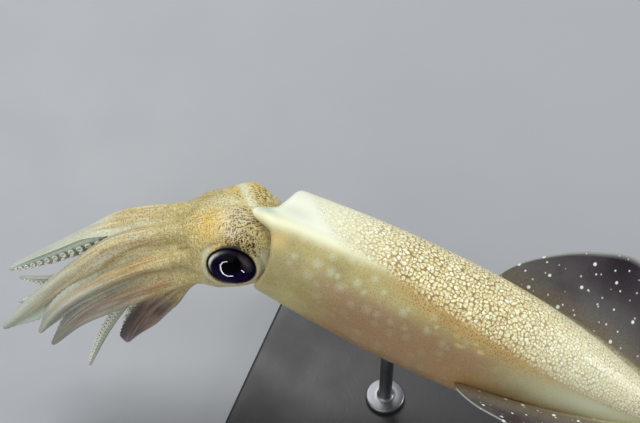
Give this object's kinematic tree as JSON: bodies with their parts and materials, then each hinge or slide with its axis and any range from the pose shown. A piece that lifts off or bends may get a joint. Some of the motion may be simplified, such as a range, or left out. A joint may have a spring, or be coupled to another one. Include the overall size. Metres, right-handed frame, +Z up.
{
  "type": "squid model on display stand",
  "caption": "Life-size squid hovering with its arms bent down, eyes, funnel, suckered arms and rear fins, on a flat base with slim rods.",
  "frame": {"origin": "centre of the underside of the stand's base plate", "axes": "+X towards the squid's tail, +Y towards the squid's right side, +Z up"},
  "size_m": [0.2037, 0.076, 0.0925],
  "materials": {
    "squid_skin": "wet, finely spotted, pearly",
    "fin_membrane": "wet and half clear with pale round spots",
    "arm_skin": "wet, tan with whitish tips",
    "eye": "glossy dark blue with silver rims",
    "stand_plate": "satin black",
    "stand_steel": "brushed"
  },
  "bodies": {
    "root": {"arm_left_1_base": "arm_skin", "arm_left_1_tip": "arm_skin", "arm_left_2_base": "arm_skin", "arm_left_2_tip": "arm_skin", "arm_left_3_base": "arm_skin", "arm_left_3_tip": "arm_skin", "arm_left_4_base": "arm_skin", "arm_left_4_tip": "arm_skin", "arm_right_1_base": "arm_skin", "arm_right_1_tip": "arm_skin", "arm_right_2_base": "arm_skin", "arm_right_2_tip": "arm_skin", "arm_right_3_base": "arm_skin", "arm_right_3_tip": "arm_skin", "arm_right_4_base": "arm_skin", "arm_right_4_tip": "arm_skin", "eye_left": "eye", "eye_right": "eye", "fin_left": "fin_membrane", "fin_right": "fin_membrane", "funnel": "squid_skin", "head": "squid_skin", "mantle_body": "squid_skin", "mantle_collar": "squid_skin", "mantle_tail": "squid_skin", "mouth": "arm_skin", "stand_base": "stand_plate", "stand_rod_front": "stand_steel", "stand_rod_rear": "stand_steel", "tentacle_left_club": "arm_skin", "tentacle_left_stalk": "arm_skin", "tentacle_right_club": "arm_skin", "tentacle_right_stalk": "arm_skin"}
  },
  "joints": []
}
